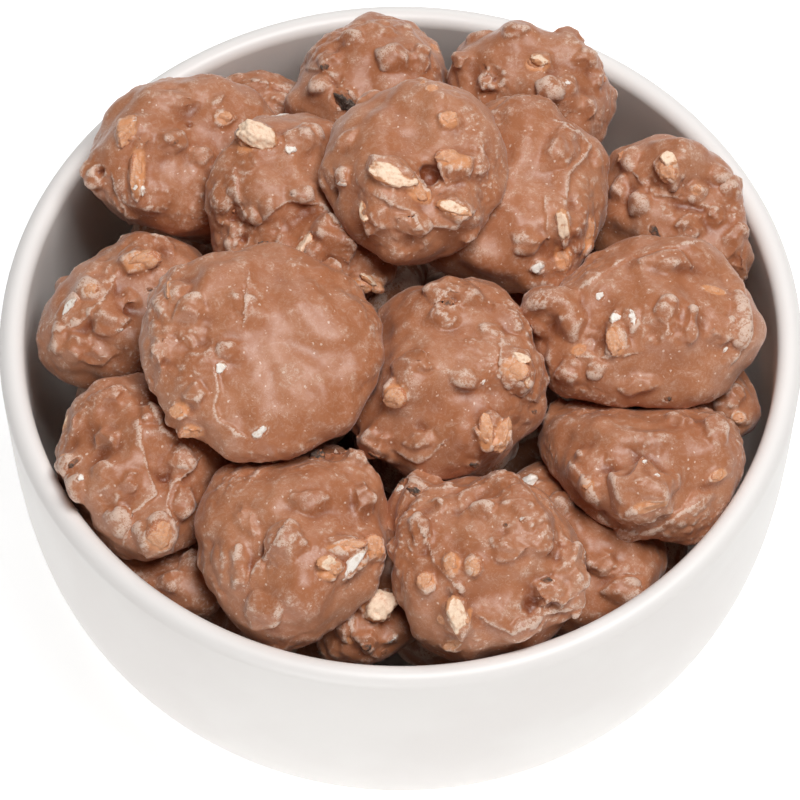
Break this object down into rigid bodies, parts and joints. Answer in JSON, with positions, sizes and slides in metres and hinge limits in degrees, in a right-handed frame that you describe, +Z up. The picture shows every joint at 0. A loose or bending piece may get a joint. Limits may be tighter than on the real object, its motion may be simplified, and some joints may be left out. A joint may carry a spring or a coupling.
{
  "type": "bowl of rocky road clusters",
  "caption": "Round white ceramic bowl heaped with lumpy milk chocolate clusters of nuts, raisins and biscuit, served as a snack.",
  "frame": {"origin": "centre of the bowl's flat foot, on the surface that it stands on", "axes": "+Z up through the middle of the bowl, -Y towards the side that the picture is taken from, +X to its right"},
  "size_m": [0.164, 0.164, 0.1191],
  "materials": {
    "glaze": "satin white glaze",
    "chocolate": "set milk chocolate with nuts, satin with pale scuffs"
  },
  "bodies": {
    "root": {"bowl": "glaze", "summit": "chocolate", "left_big": "chocolate", "right_of_summit": "chocolate", "left_of_summit": "chocolate", "centre": "chocolate", "right": "chocolate", "back_left": "chocolate", "back_mid": "chocolate", "back_right": "chocolate", "back_small": "chocolate", "right_back": "chocolate", "far_left": "chocolate", "left_low": "chocolate", "front_left": "chocolate", "front_right": "chocolate", "right_low": "chocolate", "right_edge": "chocolate", "front_mid": "chocolate", "front_deep": "chocolate", "left_deep": "chocolate", "middle_1": "chocolate", "middle_2": "chocolate", "middle_3": "chocolate", "middle_4": "chocolate", "second_1": "chocolate", "second_2": "chocolate", "second_3": "chocolate", "second_4": "chocolate", "second_5": "chocolate", "second_6": "chocolate", "second_7": "chocolate", "second_8": "chocolate", "inner_1": "chocolate", "inner_2": "chocolate", "inner_3": "chocolate", "inner_4": "chocolate", "third_1": "chocolate", "third_2": "chocolate", "third_3": "chocolate", "third_4": "chocolate", "third_5": "chocolate", "third_6": "chocolate", "third_7": "chocolate", "core_1": "chocolate", "core_2": "chocolate", "bottom_1": "chocolate", "bottom_2": "chocolate", "bottom_3": "chocolate", "bottom_4": "chocolate", "bottom_5": "chocolate"}
  },
  "joints": []
}
